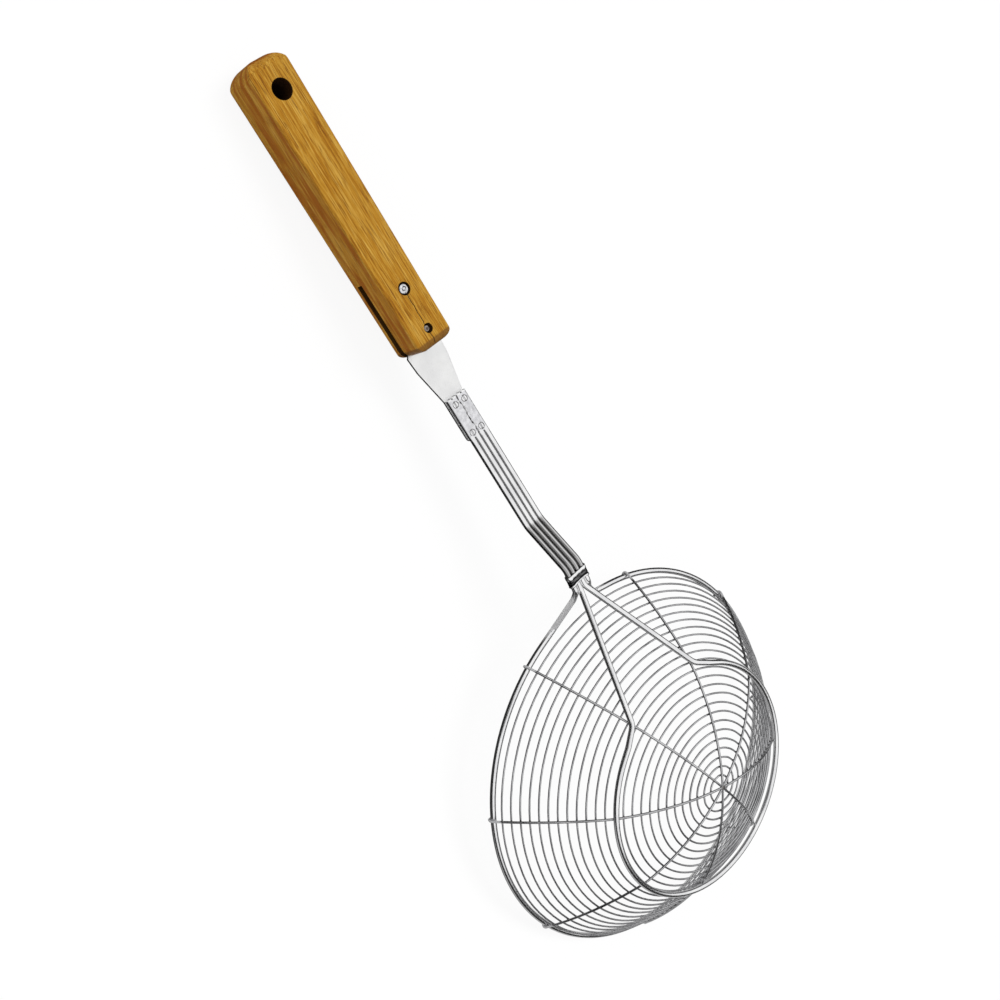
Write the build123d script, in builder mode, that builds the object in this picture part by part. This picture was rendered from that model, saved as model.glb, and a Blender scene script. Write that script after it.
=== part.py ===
from build123d import *
from math import acos, asin, atan2, cos, degrees, hypot, radians, sin, sqrt
import os

# Spider skimmer: a bowl of spiral wire on a flat steel shaft with a bamboo handle.
# It lies face down, bowl upwards, on the rim's far side and the handle's butt.
# +X runs towards the butt, +Z is up, and the origin is on the surface, under the middle.

# Bowl
bowl_width = 197.0  # over the rim wire
bowl_depth = 59.6  # rim plane to the crossing of the ribs
dish_radius = 113.0  # the shallow middle
dish_reach = 55.0  # from the bowl's axis to where the dish ends
knuckle_radius = 40.0  # the turn between dish and wall
knuckle_share = 0.55  # how much of the turn from dish to wall the knuckle makes
frame_wire = 2.9  # diameter of the rim wire and of the support wire
frame_sides = 8  # flats round a thick wire, in place of a round section
rib_wire = 1.2
spiral_wire = 0.95
rib_sides = 5
spiral_sides = 5
spiral_pitch = 4.5  # from turn to turn along the ribs
spiral_chords = 24  # straight lengths in a turn, a multiple of the eight half ribs
rib_count = 4
hook_turn = 170.0  # degrees that each rib's end is bent round the rim wire

# Support wire
arm_spread = 22.9  # degrees from the middle plane to the bend at each arm's foot
arm_bend_out = 2.2  # how far that bend stands out from the ring
arm_lead = 6.0  # straight length that runs into the ring
arm_clearance = 0.1
arm_radii = (6.0, 8.0, 20.0)  # at the neck, at the foot and into the ring

# Rim wire beside the neck
rim_opening = 15.0  # degrees from the middle plane to where the circle begins
rim_lead = 10.0  # straight length that runs into the circle
rim_bend = (4.5, 1.1, 3.0)  # from the neck's lower bend: towards the bowl, outwards and down
rim_radii = (5.0, 5.0, 6.0)  # at the neck, below it and into the circle

# Shaft: four wires side by side, from the neck to the tang
neck_reach = 18.0  # from the rim's centre line to the neck's lower bend
neck_rise = 15.0  # above the rim plane
neck_length = 13.0
neck_slope = 4.4
neck_radius = 8.0
wire_gap = 0.04  # between neighbouring wires
drop_length = 27.0
drop_slope = 35.0
drop_radius = 15.0
shaft_length = 71.3
shaft_slope = 14.8

# Neck clip
clip_length = 6.0
clip_wall = 0.8
clip_clearance = 0.05

# Tang
tang_thickness = 1.4
tang_width = 20.4
tang_waist = (8.0, 19.2)  # distance from the handle and width where the stronger taper begins
tang_inner_width = 15.0  # inside the handle
tang_shoulder = 3.0  # length over which it narrows to that
tang_taper = 26.0  # free length between the handle and the ends of the wires
tang_overlap = 22.0  # length that the wires are welded to
tang_corner = 2.0
tang_end_gap = 0.5

# Handle
handle_length = 143.0
handle_width = 20.5  # at the front end
handle_thickness = 20.0
butt_width = 22.2  # the bar widens and thickens towards the butt
butt_thickness = 21.6
butt_corner = 8.5  # seen from above
butt_round = 6.5  # seen from the side
front_corner = 5.0
front_round = 3.0
handle_edge = 1.4
slot_depth = 39.0
slot_height = 3.8
slot_offset = 2.8  # from the handle's axis to the slot's upper wall
hang_hole = 9.6
hang_hole_from_butt = 16.0

# Rivets: distance from the handle's front end, shank, head, head's height, seat width and depth
rivet_sizes = {
    "rivet_upper": (28.6, 3.6, 5.3, 0.9, 6.2, 1.1),
    "rivet_lower": (8.2, 2.8, 3.6, 0.6, 4.6, 1.7),
}
rivet_clearance = 0.05
rivet_bevel = 0.4

# Places in the bowl's middle plane, as distance from the axis and height over the rim plane
rim_radius = (bowl_width - frame_wire) / 2
hook_radius = (frame_wire + rib_wire) / 2
dish_slope = degrees(asin(dish_reach / dish_radius))
dish_centre = Vector(0, bowl_depth - dish_radius)


def on_arc(centre, radius, slope):
    """The point of an arc where it falls away at a slope, in degrees."""
    return centre + Vector(sin(radians(slope)), cos(radians(slope))) * radius


knuckle_start = on_arc(dish_centre, dish_radius, dish_slope)
knuckle_centre = on_arc(knuckle_start, -knuckle_radius, dish_slope)
rim_slope = degrees(atan2(knuckle_start.Y, rim_radius - knuckle_start.X))
knuckle_slope = dish_slope + knuckle_share * (rim_slope - dish_slope)
wall_start = on_arc(knuckle_centre, knuckle_radius, knuckle_slope)
# The wall is an arc that leaves the knuckle and meets the hooks round the rim, tangent to both.
rim_centre = Vector(rim_radius, 0)
to_rim = wall_start - rim_centre
inward = on_arc(Vector(0, 0), -1, knuckle_slope)
wall_radius = (hook_radius**2 - to_rim.length**2) / (2 * (to_rim.dot(inward) + hook_radius))
wall_centre = wall_start + inward * wall_radius
wall_end_slope = 90 - degrees(atan2(rim_centre.Y - wall_centre.Y, rim_centre.X - wall_centre.X))
apex_weld_radius = rib_wire / 2 / sin(radians(90 / rib_count)) + 0.15
apex_weld_height = rib_wire + 0.2

# The ring rests on the middle of the knuckle.
ring_offset = (rib_wire + frame_wire) / 2
ring_place = on_arc(knuckle_centre, knuckle_radius + ring_offset, (dish_slope + knuckle_slope) / 2)
ring_radius = ring_place.X
ring_height = ring_place.Y
foot_radius = ring_radius + arm_bend_out
ring_start = arm_spread + degrees(acos(ring_radius / foot_radius))
first_rib = 90 / rib_count
foot_over_rib = ring_radius / cos(radians(ring_start - first_rib))
foot_height = wall_centre.Y + sqrt(
    (wall_radius + ring_offset + arm_clearance) ** 2 - (foot_over_rib - wall_centre.X) ** 2
)


def along(start, length, slope):
    """The point a length further out from the bowl, falling at a slope."""
    return start + Vector(cos(radians(slope)), -sin(radians(slope))) * length


# The shaft's bends and its end, then the handle's front end, on its axis
neck_bend = Vector(rim_radius + neck_reach, neck_rise)
drop_start = along(neck_bend, neck_length, neck_slope)
drop_end = along(drop_start, drop_length, drop_slope)
shaft_end = along(drop_end, shaft_length, shaft_slope)
inner_side = (frame_wire + wire_gap) / 2
shaft_width = 4 * frame_wire + 3 * wire_gap
tang_offset = (frame_wire + tang_thickness) / 2
axis_offset = slot_offset + tang_thickness / 2 - tang_offset
handle_front = on_arc(along(shaft_end, tang_taper, shaft_slope), axis_offset, shaft_slope)

# The tilt at which the butt's lower corner and the hooks on the rim's far side touch the surface
butt_centre = on_arc(
    along(handle_front, handle_length - butt_round, shaft_slope),
    butt_round - butt_thickness / 2,
    shaft_slope,
)
rest_hook = Vector(-rim_radius * cos(radians(first_rib)), 0)
rest_span = butt_centre - rest_hook
rest_step = butt_round - hook_radius - rib_wire / 2
rest_angle = degrees(asin(rest_step / rest_span.length) - atan2(rest_span.Y, rest_span.X))
tilt_cos = cos(radians(rest_angle))
tilt_sin = sin(radians(rest_angle))
butt_top = on_arc(butt_centre, butt_thickness - 2 * butt_round, shaft_slope)
butt_tip = butt_top.X * tilt_cos - butt_top.Y * tilt_sin + butt_round
far_rim = -rim_radius * tilt_cos - frame_wire / 2
rim_plane = Plane(
    origin=(
        -(butt_tip + far_rim) / 2,
        0,
        hook_radius + rib_wire / 2 - rest_hook.X * tilt_sin,
    ),
    x_dir=(tilt_cos, 0, tilt_sin),
    z_dir=(-tilt_sin, 0, tilt_cos),
)


def upright(azimuth):
    """A plane through the bowl's axis: X outwards at an azimuth, Y up the axis."""
    return Plane(rim_plane.location * Location((0, 0, 0), (0, 0, azimuth)) * Plane.XZ.location)


def in_space(point, side):
    """A place in the middle plane, moved sideways."""
    return (point.X, side, point.Y)


def across(path, side):
    """The plane square to a path at its start, with its X to one side."""
    return Plane(origin=path @ 0, x_dir=side, z_dir=path % 0)


middle_plane = upright(0)
grip_slope = radians(shaft_slope - rest_angle)
grip_plane = Plane(
    origin=middle_plane.from_local_coords((handle_front.X, handle_front.Y, 0)),
    x_dir=(cos(grip_slope), 0, -sin(grip_slope)),
    z_dir=(sin(grip_slope), 0, cos(grip_slope)),
)
grip_normal = Axis(grip_plane.origin, grip_plane.z_dir)
os.makedirs("parts", exist_ok=True)


def seat_face(place, seat):
    """Distance from the handle's axis to its face, at the seat's far side."""
    widening = (butt_thickness - handle_thickness) / handle_length
    return (handle_thickness + (place + seat / 2) * widening) / 2


# Handle: a bamboo bar that widens to a rounded butt, sawn open at the front for the tang
grip_side = Plane(grip_plane.origin, x_dir=grip_plane.x_dir, z_dir=-grip_plane.y_dir)
with BuildPart() as handle:
    with BuildSketch(grip_plane):
        with BuildLine():
            Polyline(
                (0, 0),
                (0, handle_width / 2),
                (handle_length, butt_width / 2),
                (handle_length, 0),
            )
            mirror(about=Plane.XZ)
        make_face()
    extrude(amount=butt_thickness / 2, both=True)
    with BuildSketch(grip_side):
        with BuildLine():
            Polyline(
                (0, handle_thickness / 2),
                (handle_length, butt_thickness / 2),
                (0, butt_thickness),
                close=True,
            )
        make_face()
        mirror(about=Plane.XZ)
    extrude(amount=butt_width, both=True, mode=Mode.SUBTRACT)
    fillet(handle.edges().sort_by(SortBy.LENGTH)[-4:], radius=handle_edge)
    with BuildSketch(grip_plane):
        with Locations((handle_length - butt_corner, butt_width / 2 - butt_corner)):
            Rectangle(2 * butt_corner, 2 * butt_corner, align=Align.MIN)
            Circle(butt_corner, mode=Mode.SUBTRACT)
        with Locations((front_corner, handle_width / 2 - front_corner)):
            Rectangle(2 * front_corner, 2 * front_corner, align=(Align.MAX, Align.MIN))
            Circle(front_corner, mode=Mode.SUBTRACT)
        mirror(about=Plane.XZ)
    extrude(amount=handle_thickness, both=True, mode=Mode.SUBTRACT)
    with BuildSketch(grip_side):
        with Locations((handle_length - butt_round, butt_thickness / 2 - butt_round)):
            Rectangle(2 * butt_round, 2 * butt_round, align=Align.MIN)
            Circle(butt_round, mode=Mode.SUBTRACT)
        with Locations((front_round, handle_thickness / 2 - front_round)):
            Rectangle(2 * front_round, 2 * front_round, align=(Align.MAX, Align.MIN))
            Circle(front_round, mode=Mode.SUBTRACT)
        mirror(about=Plane.XZ)
    extrude(amount=handle_width, both=True, mode=Mode.SUBTRACT)
    slot_place = (slot_depth / 2, -slot_offset - slot_height / 2)
    with BuildSketch(grip_side):
        with Locations(slot_place):
            Rectangle(slot_depth, slot_height)
    extrude(amount=handle_width, both=True, mode=Mode.SUBTRACT)
    with Locations(grip_plane.offset(butt_thickness / 2)):
        with Locations((handle_length - hang_hole_from_butt, 0)):
            Hole(hang_hole / 2)
    for place, shank, head, head_height, seat, seat_depth in rivet_sizes.values():
        for side in (1, -1):
            face = Plane(
                grip_plane.from_local_coords((place, 0, side * seat_face(place, seat))),
                z_dir=grip_plane.z_dir * side,
            )
            with Locations(face):
                CounterBoreHole(
                    shank / 2 + rivet_clearance,
                    seat / 2,
                    seat_depth,
                    depth=butt_thickness / 2,
                )
handle.part.label = "handle"
export_step(handle.part, "parts/handle.step")

# Tang: a flat plate in the slot, tapering to the width of the shaft
tang_plane = grip_plane.offset(-slot_offset - tang_thickness / 2)
tang_inner = slot_depth - tang_end_gap
with BuildPart() as tang:
    with BuildSketch(tang_plane) as tang_outline:
        with BuildLine():
            Polyline(
                (tang_inner, 0),
                (tang_inner, tang_inner_width / 2),
                (tang_shoulder, tang_inner_width / 2),
                (0, tang_width / 2),
                (-tang_waist[0], tang_waist[1] / 2),
                (-tang_taper, shaft_width / 2),
                (-tang_taper - tang_overlap, shaft_width / 2),
                (-tang_taper - tang_overlap, 0),
            )
            mirror(about=Plane.XZ)
        make_face()
        tang_corners = tang_outline.vertices().group_by(Axis.X)
        fillet(tang_corners[0], tang_corner)
    extrude(amount=tang_thickness / 2, both=True)
    with Locations(tang_plane.offset(tang_thickness / 2)):
        for place, shank, *_ in rivet_sizes.values():
            with Locations((place, 0)):
                Hole(shank / 2 + rivet_clearance)
tang.part.label = "tang"
export_step(tang.part, "parts/tang.step")

# Rivets: a shank through handle and tang, with a bevelled head sunk at each face
for name, (place, shank, head, head_height, seat, seat_depth) in rivet_sizes.items():
    rivet_plane = Plane(
        grip_plane.from_local_coords((place, 0, 0)),
        x_dir=grip_plane.x_dir,
        z_dir=grip_plane.z_dir,
    )
    head_base = seat_face(place, seat) - seat_depth
    with BuildPart() as rivet:
        with BuildSketch(rivet_plane):
            Circle(shank / 2)
        extrude(amount=head_base, both=True)
        with BuildSketch(rivet_plane.offset(head_base)):
            Circle(head / 2)
        extrude(amount=head_height)
        with BuildSketch(rivet_plane.offset(-head_base)):
            Circle(head / 2)
        extrude(amount=-head_height)
        rims = rivet.edges().group_by(grip_normal)
        chamfer(rims[0] + rims[-1], rivet_bevel)
    rivet.part.label = name
    export_step(rivet.part, f"parts/{name}.step")

# Rim wire: down one side of the shaft, round the bowl's mouth and up the other side
outer_side = inner_side + frame_wire + wire_gap
rim_start = Vector(cos(radians(rim_opening)), sin(radians(rim_opening))) * rim_radius
bend_in, bend_out, bend_down = rim_bend
rim_corner = rim_start + Vector(sin(radians(rim_opening)), -cos(radians(rim_opening))) * rim_lead
with BuildPart() as rim_wire:
    with BuildLine(rim_plane) as rim_line:
        rim_leg = FilletPolyline(
            in_space(shaft_end, outer_side),
            in_space(drop_end, outer_side),
            in_space(drop_start, outer_side),
            in_space(neck_bend, outer_side),
            (neck_bend.X - bend_in, outer_side + bend_out, neck_bend.Y - bend_down),
            (rim_corner.X, rim_corner.Y, 0),
            (rim_start.X, rim_start.Y, 0),
            radius=[drop_radius, neck_radius, *rim_radii],
        )
        ThreePointArc(
            (rim_start.X, rim_start.Y, 0),
            (-rim_radius, 0, 0),
            (rim_start.X, -rim_start.Y, 0),
        )
        mirror(rim_leg, about=middle_plane)
    rim_path = rim_line.wire()
    with BuildSketch(across(rim_path, rim_plane.y_dir)):
        RegularPolygon(frame_wire / 2, frame_sides)
    sweep(path=rim_path)
rim_wire.part.label = "rim_wire"
export_step(rim_wire.part, "parts/rim_wire.step")

# Support wire: two arms from the shaft to a ring round the knuckle of the ribs
arm_foot = Vector(cos(radians(arm_spread)), sin(radians(arm_spread))) * foot_radius
ring_join = Vector(cos(radians(ring_start)), sin(radians(ring_start))) * ring_radius
ring_lead = ring_join + Vector(sin(radians(ring_start)), -cos(radians(ring_start))) * arm_lead
with BuildPart() as support_wire:
    with BuildLine(rim_plane) as support_line:
        arm = FilletPolyline(
            in_space(shaft_end, inner_side),
            in_space(drop_end, inner_side),
            in_space(drop_start, inner_side),
            in_space(neck_bend, inner_side),
            (arm_foot.X, arm_foot.Y, foot_height),
            (ring_lead.X, ring_lead.Y, ring_height),
            (ring_join.X, ring_join.Y, ring_height),
            radius=[drop_radius, neck_radius, *arm_radii],
        )
        ThreePointArc(
            (ring_join.X, ring_join.Y, ring_height),
            (-ring_radius, 0, ring_height),
            (ring_join.X, -ring_join.Y, ring_height),
        )
        mirror(arm, about=middle_plane)
    support_path = support_line.wire()
    with BuildSketch(across(support_path, rim_plane.y_dir)):
        RegularPolygon(frame_wire / 2, frame_sides)
    sweep(path=support_path)
support_wire.part.label = "support_wire"
export_step(support_wire.part, "parts/support_wire.step")

# Neck clip: a strip folded round the four wires
clip_middle = along(neck_bend, neck_length / 2, neck_slope)
clip_plane = Plane(
    origin=rim_plane.from_local_coords(in_space(clip_middle, 0)),
    x_dir=rim_plane.y_dir,
    z_dir=rim_plane.from_local_coords(in_space(along(clip_middle, 1, neck_slope), 0))
    - rim_plane.from_local_coords(in_space(clip_middle, 0)),
)
with BuildPart() as neck_clip:
    with BuildSketch(clip_plane):
        SlotOverall(shaft_width + 2 * clip_wall, frame_wire + 2 * clip_wall)
        SlotOverall(
            shaft_width + 2 * clip_clearance,
            frame_wire + 2 * clip_clearance,
            mode=Mode.SUBTRACT,
        )
    extrude(amount=clip_length / 2, both=True)
neck_clip.part.label = "neck_clip"
export_step(neck_clip.part, "parts/neck_clip.step")


def rib_arcs(first_slope):
    """A rib's centre line: dish, knuckle, wall, and the hook round the rim wire."""
    CenterArc(tuple(dish_centre), dish_radius, 90 - first_slope, first_slope - dish_slope)
    CenterArc(tuple(knuckle_centre), knuckle_radius, 90 - dish_slope, dish_slope - knuckle_slope)
    CenterArc(tuple(wall_centre), wall_radius, 90 - knuckle_slope, knuckle_slope - wall_end_slope)


# Ribs: each wire runs over the whole bowl and is welded to the others at the middle
first_slope = degrees(asin(apex_weld_radius / dish_radius))
for number in range(rib_count):
    azimuth = (number + 0.5) * 180 / rib_count
    with BuildPart() as rib:
        with BuildLine(upright(azimuth)) as rib_line:
            rib_arcs(first_slope)
            CenterArc(tuple(rim_centre), hook_radius, 90 - wall_end_slope, -hook_turn)
        rib_path = rib_line.wire()
        with BuildSketch(across(rib_path, upright(azimuth).z_dir)):
            RegularPolygon(rib_wire / 2, rib_sides, rotation=90)
        sweep(path=rib_path)
        mirror(about=Plane(rim_plane.origin, z_dir=upright(azimuth).x_dir))
    rib.part.label = f"rib_wire_{number + 1}"
    export_step(rib.part, f"parts/rib_wire_{number + 1}.step")

# Apex weld: the nugget where the ribs run together
with BuildPart() as apex_weld:
    with BuildSketch(rim_plane.offset(bowl_depth - apex_weld_height / 2)):
        Circle(apex_weld_radius)
    extrude(amount=apex_weld_height)
    chamfer(apex_weld.edges().filter_by(GeomType.CIRCLE), apex_weld_height / 4)
apex_weld.part.label = "apex_weld"
export_step(apex_weld.part, "parts/apex_weld.step")

# Spiral: one wire wound from beside the apex weld to the rim, on the inner side of the ribs
with BuildLine() as rib_profile:
    rib_arcs(0)
rib_curve = rib_profile.wire()
spiral_offset = (rib_wire + spiral_wire) / 2
rim_gap = (frame_wire + spiral_wire) / 2
last_turn = sqrt(rim_gap**2 - (hook_radius - spiral_offset) ** 2)
spiral_start = -(180 - first_rib)  # beside a rib on the bowl's far side
steps = int((rib_curve.length - last_turn) / spiral_pitch * spiral_chords)
spiral_points = []
for step in range(spiral_chords, steps + 1):
    angle = radians(spiral_start + (step % spiral_chords) * 360 / spiral_chords)
    distance = spiral_pitch * step / spiral_chords
    place = rib_curve.position_at(distance, PositionMode.LENGTH)
    heading = rib_curve.tangent_at(distance, PositionMode.LENGTH)
    radius = place.X + heading.Y * spiral_offset
    height = place.Y - heading.X * spiral_offset
    spiral_points.append((radius * cos(angle), radius * sin(angle), height))
with BuildPart() as spiral:
    with BuildLine(rim_plane) as spiral_line:
        Polyline(*spiral_points)
    spiral_path = spiral_line.wire()
    with BuildSketch(across(spiral_path, rim_plane.z_dir)):
        RegularPolygon(spiral_wire / 2, spiral_sides)
    sweep(path=spiral_path, transition=Transition.RIGHT)
spiral.part.label = "spiral_wire"
export_step(spiral.part, "parts/spiral_wire.step")
turns = (len(spiral_points) - 1) / spiral_chords
print(f"rest angle {rest_angle:.6f}, bowl at {rim_plane.origin}, grip at {grip_plane.origin}")
print(f"ring radius {ring_radius:.1f} at {ring_height:.1f}, {turns:.1f} turns")
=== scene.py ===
import math
import random

import bmesh
import bpy
from mathutils import Matrix, Quaternion, Vector


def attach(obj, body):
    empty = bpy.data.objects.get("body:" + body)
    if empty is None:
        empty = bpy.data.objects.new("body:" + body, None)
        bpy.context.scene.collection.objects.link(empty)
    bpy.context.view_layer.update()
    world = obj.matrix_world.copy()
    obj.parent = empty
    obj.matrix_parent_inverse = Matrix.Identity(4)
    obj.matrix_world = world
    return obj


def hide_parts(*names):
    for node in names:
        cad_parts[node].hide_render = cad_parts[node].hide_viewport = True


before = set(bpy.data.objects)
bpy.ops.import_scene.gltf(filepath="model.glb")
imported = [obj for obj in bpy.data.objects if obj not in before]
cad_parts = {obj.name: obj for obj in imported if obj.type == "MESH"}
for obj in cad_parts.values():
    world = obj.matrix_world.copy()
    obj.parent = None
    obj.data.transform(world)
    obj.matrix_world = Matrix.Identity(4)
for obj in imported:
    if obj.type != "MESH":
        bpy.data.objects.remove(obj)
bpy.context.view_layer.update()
scene = bpy.context.scene
mm = 0.001
print("frame loaded:", ", ".join(sorted(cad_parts)))

# Sizes are in millimetres, as the solids have them
bowl = {
    "width": 197.0,
    "depth": 59.6,
    "dishRadius": 113.0,
    "dishReach": 55.0,
    "kneeRadius": 40.0,
    "kneeShare": 0.55,
    "frameWire": 2.9,
    "ribWire": 1.2,
    "spiralWire": 0.95,
    "ribCount": 8,
    "restAngle": 8.312321,
    "centreX": -145.363444,
    "centreZ": 15.612419,
}
rimRadius = (bowl["width"] - bowl["frameWire"]) / 2
hookRadius = (bowl["frameWire"] + bowl["ribWire"]) / 2
ribStep = math.tau / bowl["ribCount"]


def onArc(centre, radius, slope):
    # the point of an arc in the bowl's section where it falls at a slope in degrees
    angle = math.radians(slope)
    return centre + Vector((math.sin(angle), math.cos(angle))) * radius


dishSlope = math.degrees(math.asin(bowl["dishReach"] / bowl["dishRadius"]))
dishCentre = Vector((0, bowl["depth"] - bowl["dishRadius"]))
kneeStart = onArc(dishCentre, bowl["dishRadius"], dishSlope)
kneeCentre = onArc(kneeStart, -bowl["kneeRadius"], dishSlope)
rimSlope = math.degrees(math.atan2(kneeStart.y, rimRadius - kneeStart.x))
kneeSlope = dishSlope + bowl["kneeShare"] * (rimSlope - dishSlope)
wallStart = onArc(kneeCentre, bowl["kneeRadius"], kneeSlope)
rimCentre = Vector((rimRadius, 0))
inward = onArc(Vector((0, 0)), -1, kneeSlope)
toRim = wallStart - rimCentre
wallRadius = (hookRadius**2 - toRim.length_squared) / (2 * (toRim.dot(inward) + hookRadius))
wallCentre = wallStart + inward * wallRadius
wallEndSlope = 90 - math.degrees(math.atan2(rimCentre.y - wallCentre.y, rimCentre.x - wallCentre.x))

# From the bowl's own frame, with its axis up, to the row frame
tilt = math.radians(bowl["restAngle"])
bowlCentre = Vector((bowl["centreX"], 0, bowl["centreZ"])) * mm
bowlPlace = Matrix.Translation(bowlCentre) @ Matrix.Rotation(-tilt, 4, "Y")


class Flow:
    # a socket with arithmetic: each operator adds its Math node to the tree
    def __init__(self, tree, socket):
        self.tree = tree
        self.socket = socket

    def through(self, kind, settings, *others):
        # the first output of a node that takes this socket and the others in order
        sockets = {f"i{k}": item for k, item in enumerate((self, *others))}
        return Graph(self.tree).flow(kind, settings, **sockets)

    def maths(self, operation, *others):
        return self.through("ShaderNodeMath", {"operation": operation}, *others)

    def __add__(self, other):
        return self.maths("ADD", other)

    __radd__ = __add__

    def __mul__(self, other):
        return self.maths("MULTIPLY", other)

    __rmul__ = __mul__

    def __sub__(self, other):
        return self.maths("SUBTRACT", other)

    def __rsub__(self, other):
        return (self * -1) + other

    def __truediv__(self, other):
        return self.maths("DIVIDE", other)

    def __abs__(self):
        return self.maths("ABSOLUTE")

    def above(self, low, high):
        # 0 below low, 1 above high, smooth between; low may be the larger
        return self.through("ShaderNodeMapRange", {"interpolation_type": "SMOOTHSTEP"}, low, high)

    def clamp(self):
        return self.through("ShaderNodeClamp", {})


def plug(tree, slot, item):
    # link a Flow or an output, or set a plain value
    if isinstance(item, Flow):
        item = item.socket
    if isinstance(item, bpy.types.NodeSocket):
        tree.links.new(item, slot)
    else:
        slot.default_value = item


class Graph:
    # builds a node tree: add() takes a node's type, its settings and the values or links of its sockets
    def __init__(self, tree):
        self.tree = tree

    def add(self, kind, settings=None, **sockets):
        node = self.tree.nodes.new(kind)
        for name, value in (settings or {}).items():
            if name == "stops":
                ramp = node.color_ramp
                while len(ramp.elements) < len(value):
                    ramp.elements.new(0.5)
                for element, (place, colour) in zip(ramp.elements, value):
                    element.position = place
                    element.color = (*colour, 1)
            else:
                setattr(node, name, value)
        for name, item in sockets.items():
            numbered = name[0] == "i" and name[1:].isdigit()
            slot = node.inputs[int(name[1:])] if numbered else node.inputs[name.replace("_", " ")]
            plug(self.tree, slot, item)
        return node

    def flow(self, kind, settings=None, out=0, **sockets):
        return Flow(self.tree, self.add(kind, settings, **sockets).outputs[out])

    def split(self, vector):
        node = self.add("ShaderNodeSeparateXYZ", Vector=vector)
        return [Flow(self.tree, output) for output in node.outputs]

    def vector(self, x, y, z):
        return self.flow("ShaderNodeCombineXYZ", X=x, Y=y, Z=z)

    def reach(self, x, y):
        # the distance from a point on the plane
        spot = self.vector(x, y, 0.0)
        return self.flow("ShaderNodeVectorMath", {"operation": "LENGTH"}, out=1, Vector=spot)

    def noise(self, vector, scale=1.0, detail=3.0, roughness=0.5):
        values = {"Scale": scale, "Detail": detail, "Roughness": roughness}
        return self.flow("ShaderNodeTexNoise", Vector=vector, **values)

    def blend(self, factor, first, second):
        # a Mix node on colours; a plain colour is given with three numbers
        first, second = [(*item, 1) if isinstance(item, tuple) else item for item in (first, second)]
        return self.flow("ShaderNodeMix", {"data_type": "RGBA"}, out=2, i0=factor, i6=first, i7=second)


# Handle: measured from its front end along its axis
grip = {
    "frontX": 100.232174,
    "frontZ": 26.195537,
    "slope": 6.487679,
    "length": 143.0,
    "thickness": 20.0,
    "buttThickness": 21.6,
    "slotDepth": 39.0,
    "slotTop": -2.8,
    "slotHeight": 3.8,
    "holePlace": 127.0,
    "holeRadius": 4.8,
    "seats": ((28.6, 3.1), (8.2, 2.3)),
    "crackWidth": 0.27,
    "crackEnd": 30.6,
}
gripWidening = (grip["buttThickness"] - grip["thickness"]) / grip["length"]
gripOrigin = Vector((grip["frontX"], 0, grip["frontZ"])) * mm
gripPlace = Matrix.Translation(gripOrigin) @ Matrix.Rotation(math.radians(grip["slope"]), 4, "Y")


def startMaterial(name):
    material = bpy.data.materials.new(name)
    material.use_nodes = True
    material.node_tree.nodes.clear()
    return material, Graph(material.node_tree)


def endMaterial(graph, shader):
    graph.add("ShaderNodeOutputMaterial", Surface=shader.outputs[0])


def endSurface(graph, look, heights, **sockets):
    # a material whose bump has the look's relief
    depth = look["reliefDepth"] * mm
    bump = graph.add("ShaderNodeBump", Strength=look["relief"], Distance=depth, Height=heights)
    endMaterial(graph, graph.add("ShaderNodeBsdfPrincipled", Normal=bump.outputs[0], **sockets))


def inMillimetres(graph, place):
    # Object coordinates in millimetres, in the frame of a part of the object
    return graph.flow(
        "ShaderNodeMapping",
        {"vector_type": "TEXTURE"},
        Vector=graph.add("ShaderNodeTexCoord").outputs["Object"],
        Location=place.to_translation(),
        Rotation=place.to_euler(),
        Scale=(mm, mm, mm),
    )


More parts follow.
